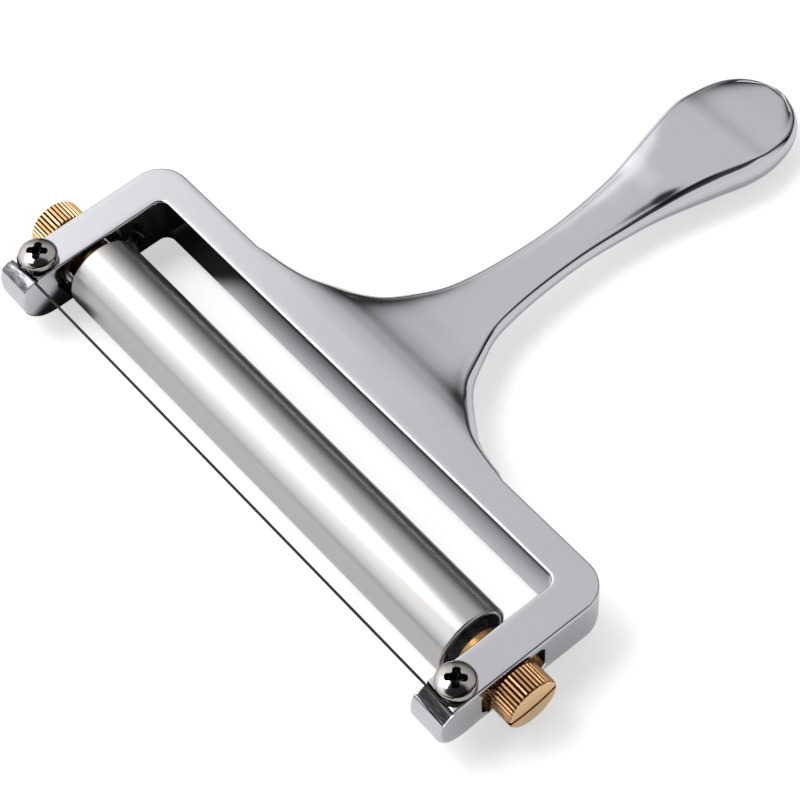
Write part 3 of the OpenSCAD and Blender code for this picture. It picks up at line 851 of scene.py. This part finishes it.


# what the painted shades below go by: pairs are where a change starts and ends
shadeSpec = {
    # painted shade at the tip: rise per run and start of its slope, depth below that, front, back, the back's
    # lean, foot, and distance from both sides of the arm
    "tipSlope": 0.37, "tipStart": -27.3, "tipSoft": (0.08, 0.25), "tipFront": (-30.25, -30.05),
    "tipBack": (-27.5, -27.4), "tipSkew": 0.087, "tipDown": (-1.95, -1.75), "tipInner": (0.05, 0.25),
    "tipOuter": (-0.25, -0.05),
    # file marks: scale, detail, stretch along x and tones of their noise, and the trough's share of them
    "markScale": 4200, "markDetail": 6, "markStretch": 0.15, "markTones": (0.3, 0.7, 0.1, 0.36),
    "troughShare": 0.2,
    # painted shade: tones on the left and on the right, a groove's depth and tones, the bright face and its
    # middle
    "collarTones": (0.1, 1.0), "knurlTones": (0.95, 0.5), "knurlDepth": (-0.24, -0.03),
    "grooveTones": (0.02, 0.88), "knurlFace": (-0.42, -0.3), "knurlMiddle": (-0.6, -0.5),
    # painted shade in the cross recess: curve of the dome above it, depth where the dark starts, its tone and
    # radius
    "domeCurve": -68.0, "recessStart": (0.06, 0.3), "recessTone": 0.03, "recessRadius": (2.15, 2.3)}


def tipPaintedShade(tree, x, y, z):  # painted shade: a dark trough on the right arm, a darkened filed slope on the left one
    c = shadeSpec
    away = mathNode(tree, "ABSOLUTE", x)
    slope = mathNode(tree, "MULTIPLY_ADD", y, c["tipSlope"],
                     armTop - c["tipSlope"] * (barFaceY + c["tipStart"] * mm))
    below = edgeStep(tree, mathNode(tree, "SUBTRACT", slope, z), 0, c["tipSoft"])
    below = mathNode(tree, "MAXIMUM", below, leftOrRight(tree, x, 1, 0))
    front = edgeStep(tree, y, barFaceY, c["tipFront"])
    skewed = mathNode(tree, "MULTIPLY_ADD", away, c["tipSkew"], y)
    back = edgeStep(tree, skewed, barFaceY + screwX * c["tipSkew"], c["tipBack"], 1, 0)
    top = edgeStep(tree, z, armTop, c["tipDown"])
    inner = edgeStep(tree, away, innerX * mm, c["tipInner"])
    outer = edgeStep(tree, away, outerX, c["tipOuter"], 1, 0)
    mask = product(tree, below, front, back, top, inner, outer)
    combed = addNode(tree, "CombineXYZ", {0: mathNode(tree, "MULTIPLY", x, c["markStretch"]), 1: y})
    filed = addNode(tree, "TexNoise", {"Vector": combed.outputs[0], "Scale": c["markScale"],
                                       "Detail": c["markDetail"]})
    marks = product(tree, stepNode(tree, filed.outputs[0], *c["markTones"]),
                    leftOrRight(tree, x, 1.0, c["troughShare"]))
    dark = product(tree, mask, mathNode(tree, "SUBTRACT", 1.0, marks))
    return mathNode(tree, "SUBTRACT", 1.0, dark)


def collarPaintedShade(tree, x, y, z):  # painted shade: the left collar is painted nearly black
    return leftOrRight(tree, x, *shadeSpec["collarTones"])


def knurlPaintedShade(tree, x, y, z):  # painted shade down in the knurl's grooves and over the right knob's knurl
    c = shadeSpec
    radial = fromAxis(tree, y, z)
    ridge = product(tree, edgeStep(tree, radial, knobRadius * mm, c["knurlDepth"], *c["grooveTones"]),
                    leftOrRight(tree, x, *c["knurlTones"]))
    face = edgeStep(tree, mathNode(tree, "ABSOLUTE", x), knobFace * mm, c["knurlFace"])
    middle = edgeStep(tree, radial, knobRadius * mm, c["knurlMiddle"], 1, 0)
    return mathNode(tree, "MAXIMUM", ridge, mathNode(tree, "MAXIMUM", face, middle))


def recessPaintedShade(tree, x, y, z):  # painted shade: the cross recess is painted dark under the polished dome
    c = shadeSpec
    squared = squaredDistance(tree, mathNode(tree, "ABSOLUTE", x), y, screwX, screwY)
    crown = armTop + (clampSpec["lift"] + clampSpec["headHeight"]) * mm
    dome = mathNode(tree, "MULTIPLY_ADD", squared, c["domeCurve"], crown)
    below = edgeStep(tree, mathNode(tree, "SUBTRACT", dome, z), 0, c["recessStart"], 1, c["recessTone"])
    outside = stepNode(tree, squared, *[(r * mm) ** 2 for r in c["recessRadius"]], 0, 1)
    return mathNode(tree, "MAXIMUM", below, outside)


# Wear is its scale, smudge and spread of roughness; grain is its stretch, scale and depth.
# Rings run round the roller's axis. A tint of painted shade takes over where the painted shade is dark.
finishSpec = {
    "chromedCasting": {"pieces": ["casting"], "color": (0.66, 0.66, 0.70), "rough": 0.11,
                       "wear": (70, 0.10, 0.08), "ripple": 0.06, "shade": tipPaintedShade},
    "satinStainless": {"pieces": ["rollerTube"], "color": (0.53, 0.52, 0.51), "rough": 0.29,
                       "wear": (90, 0.06, 0.04), "ripple": 0.0,
                       "grain": ((1, 0, 0), 9000, 0.08), "relief": 0.1},
    "knurledBrass": {"pieces": ["rightThumbScrew", "leftThumbScrew"], "color": (1.0, 0.67, 0.35),
                     "rough": 0.22, "wear": (400, 0.25, 0.14), "ripple": 0.05,
                     "grain": ((1, 0.02, 0), 9000, 0.16), "relief": 0.2, "rings": True, "shade": knurlPaintedShade,
                     "paintedShadeTint": (0.12, 0.03, 0.004)},
    "turnedBrass": {"pieces": ["rightAxleCollar", "leftAxleCollar"], "color": (0.40, 0.23, 0.08),
                    "rough": 0.25, "wear": (400, 0.2, 0.1), "ripple": 0.03,
                    "grain": ((1, 1, 0), 7000, 0.3), "relief": 0.3, "rings": True, "shade": collarPaintedShade},
    "nickelPlate": {"pieces": ["rightClampScrew", "leftClampScrew"], "color": (0.44, 0.415, 0.40),
                    "rough": 0.09, "wear": (300, 0.16, 0.08), "ripple": 0.04, "shade": recessPaintedShade},
    "drawnSteelWire": {"pieces": ["cuttingWire"], "color": (0.014, 0.014, 0.015), "rough": 0.45,
                       "metallic": 0.5, "wear": (500, 0.25, 0.12), "ripple": 0.02,
                       "grain": ((0.02, 1, 1), 20000, 0.2), "relief": 0.15},
    "drawnBar": {"pieces": ["axleRod"], "color": (0.52, 0.52, 0.54), "rough": 0.32,
                 "wear": (300, 0.15, 0.1), "ripple": 0.02, "grain": ((0.02, 1, 1), 9000, 0.2), "relief": 0.2},
    "bearingPlastic": {"pieces": ["rightRollerPlug", "leftRollerPlug"], "color": (0.035, 0.035, 0.04),
                       "rough": 0.45, "metallic": 0.0, "wear": (300, 0.5, 0.2), "ripple": 0.1}}


def buildFinish(name, finish):
    material = bpy.data.materials.new(name)
    material.use_nodes = True
    tree = material.node_tree
    where = addNode(tree, "TexCoord").outputs["Object"]
    x, y, z = addNode(tree, "SeparateXYZ", {0: where}).outputs
    tone, rough, patches = addWear(tree, where, finish["rough"], *finish["wear"])
    normal = addNode(tree, "Bump", {"Distance": 0.001, "Strength": finish["ripple"],
                                    "Height": patches}).outputs["Normal"]
    if "grain" in finish:
        along = where
        if "rings" in finish:
            along = addNode(tree, "CombineXYZ", {0: fromAxis(tree, y, z), 1: x}).outputs[0]
        grainTone, lines = addGrain(tree, along, *finish["grain"])
        tone = mathNode(tree, "MULTIPLY", tone, grainTone)
        normal = addNode(tree, "Bump", {"Distance": 0.0001, "Strength": finish["relief"], "Height": lines,
                                        "Normal": normal}).outputs["Normal"]
    # painted shade darkens the tone here
    if "shade" in finish:
        tone = mathNode(tree, "MULTIPLY", tone, finish["shade"](tree, x, y, z))
    tint = addNode(tree, "VectorMath", {0: finish["color"], "Scale": tone}, operation="SCALE").outputs[0]
    # the painted shade's tint fills in where the tone is darkened
    if "paintedShadeTint" in finish:
        lack = mathNode(tree, "SUBTRACT", 1, tone)
        rest = addNode(tree, "VectorMath", {0: finish["paintedShadeTint"], "Scale": lack}, operation="SCALE").outputs[0]
        tint = addNode(tree, "VectorMath", {0: tint, 1: rest}, operation="ADD").outputs[0]
    feed(tree, tree.nodes["Principled BSDF"].inputs, {
        "Metallic": finish.get("metallic", 1.0), "Base Color": tint, "Roughness": rough, "Normal": normal})
    for piece in finish["pieces"]:
        mesh = bpy.data.objects[piece].data
        mesh.materials.clear()
        mesh.materials.append(material)


for name, finish in finishSpec.items():
    buildFinish(name, finish)
print("finishes made")


# Camera, floor, sky and one lamp
stageSpec = {"floorSize": 3.0, "floorDrop": 0.0002, "floorColor": (0.93, 0.93, 0.93), "lens": 116.388,
             "eye": (0.201885, -0.177409, 0.371797),
             "axes": ((0.64596302, 0.76242311, -0.03798388), (-0.62008273, 0.55308551, 0.55641157),
                      (0.44522937, -0.33586815, 0.83003819)),
             # the floor as the camera sees it, then as the metal mirrors it
             "floorGlow": 0.5, "floorMirror": (0.75, 0.75, 0.75), "mirrorGlow": 0.25,
             "floorRoughness": 0.9, "floorSpecular": 0.1,
             # shaded floor within the frame, only in what the metal mirrors, in metres:
             # half width, front and back, then how far both reach out at the left end
             "shadeColor": (0.03, 0.03, 0.03), "shadeHalf": (0.052, 0.058), "shadeFront": (-0.056, -0.050),
             "shadeBack": (-0.043, -0.035), "shadeSkew": 0.02, "leftFront": (-0.0525, -0.0435, 0.016, 0),
             "leftBack": (-0.050, -0.034, -0.013, 0),
             # where each part of the sky starts and ends, and its strength at both
             "overhead": (0.15, 0.74, 0.04, 0.73), "softbox": (0.40, 0.56, 0.0, 0.45),
             "core": (0.56, 0.76, 0.0, 0.6), "room": (0.80, 0.90, 1.0, 0.05),
             "farSide": (0.30, 0.50, 1.0, 0.08), "window": (0.55, 0.70, 0.0, 0.8),
             "windowFoot": (-0.1, 0, 0, 1), "windowHead": (0.36, 0.46, 1, 0),
             "softboxLean": (-0.75, -0.45, 0.3), "roomLean": (0.25, -0.20, 0.947),
             "lampAt": (-0.5, -0.25, 0.9), "lampSize": (0.5, 0.5), "lampPower": 3}

spec = stageSpec
cameraData = bpy.data.cameras.new("camera")
cameraData.lens = spec["lens"]
cameraData.sensor_width = 36
cameraData.clip_start = 0.01
camera = bpy.data.objects.new("camera", cameraData)
camera.matrix_world = Matrix.Translation(spec["eye"]) @ Matrix(spec["axes"]).transposed().to_4x4()
bpy.context.collection.objects.link(camera)
bpy.context.scene.camera = camera

deselectAll()
bpy.ops.mesh.primitive_plane_add(size=spec["floorSize"], location=(0, 0, -spec["floorDrop"]))
floor = nameAndSettle("floor")
floorMaterial = bpy.data.materials.new("paleFloor")
floorMaterial.use_nodes = True
tree = floorMaterial.node_tree
seen = addNode(tree, "LightPath").outputs
x, y, z = addNode(tree, "SeparateXYZ", {0: addNode(tree, "TexCoord").outputs["Object"]}).outputs
aside = stepNode(tree, mathNode(tree, "ABSOLUTE", x), *spec["shadeHalf"], 1, 0)
forward = mathNode(tree, "ADD", y, stepNode(tree, x, *spec["leftFront"]))
backward = mathNode(tree, "ADD", stepNode(tree, x, *spec["leftBack"]),
                    mathNode(tree, "MULTIPLY_ADD", x, spec["shadeSkew"], y))
front = stepNode(tree, forward, *spec["shadeFront"], 0, 1)
back = stepNode(tree, backward, *spec["shadeBack"], 1, 0)
within = product(tree, aside, front, back)
mirrored = addNode(tree, "MixRGB", {0: within, 1: (*spec["floorMirror"], 1), 2: (*spec["shadeColor"], 1)})
shown = addNode(tree, "MixRGB", {0: seen["Is Camera Ray"], 1: mirrored.outputs[0],
                                 2: (*spec["floorColor"], 1)})
mirrorGlow = product(tree, seen["Is Glossy Ray"], stepNode(tree, within, 0, 1, spec["mirrorGlow"], 0.0))
glow = mathNode(tree, "MULTIPLY_ADD", seen["Is Camera Ray"], spec["floorGlow"], mirrorGlow)
feed(tree, tree.nodes["Principled BSDF"].inputs, {
    "Base Color": shown.outputs[0], "Roughness": spec["floorRoughness"],
    "Specular IOR Level": spec["floorSpecular"], "Emission Color": (1, 1, 1, 1), "Emission Strength": glow})
floor.data.materials.append(floorMaterial)

world = bpy.data.worlds.new("studio")
bpy.context.scene.world = world
world.use_nodes = True
sky = world.node_tree
# grey overhead, a soft light from front left, a low window on the right, a dark room behind the camera
towards = addNode(sky, "TexCoord").outputs["Generated"]
x, y, z = addNode(sky, "SeparateXYZ", {0: towards}).outputs


def leaning(vector):  # how far each direction leans towards the given one
    return addNode(sky, "VectorMath", {0: towards, 1: vector}, operation="DOT_PRODUCT").outputs["Value"]


softLean = leaning(spec["softboxLean"])
softbox = mathNode(sky, "ADD", stepNode(sky, softLean, *spec["softbox"]),
                   stepNode(sky, softLean, *spec["core"]))
above = mathNode(sky, "ADD", stepNode(sky, z, *spec["overhead"]), softbox)
room = product(sky, stepNode(sky, leaning(spec["roomLean"]), *spec["room"]),
               stepNode(sky, x, *spec["farSide"]))
window = product(sky, stepNode(sky, x, *spec["window"]), stepNode(sky, z, *spec["windowFoot"]),
                 stepNode(sky, z, *spec["windowHead"]))
studio = mathNode(sky, "MULTIPLY_ADD", above, room, window)
seen = addNode(sky, "LightPath").outputs
paint = addNode(sky, "MixRGB", {0: seen["Is Camera Ray"], 1: studio, 2: (1, 1, 1, 1)})
feed(sky, sky.nodes["Background"].inputs, {"Color": paint.outputs[0]})

lampData = bpy.data.lights.new("leftSoftbox", "AREA")
lampData.shape = "RECTANGLE"
lampData.size, lampData.size_y = spec["lampSize"]
lampData.energy = spec["lampPower"]
lamp = bpy.data.objects.new("leftSoftbox", lampData)
lamp.location = spec["lampAt"]
lamp.rotation_euler = (Vector((0, 0, 0.01)) - lamp.location).to_track_quat("-Z", "Y").to_euler()
bpy.context.collection.objects.link(lamp)
bpy.context.scene.view_settings.view_transform = "Standard"
print("camera, floor and lights set")
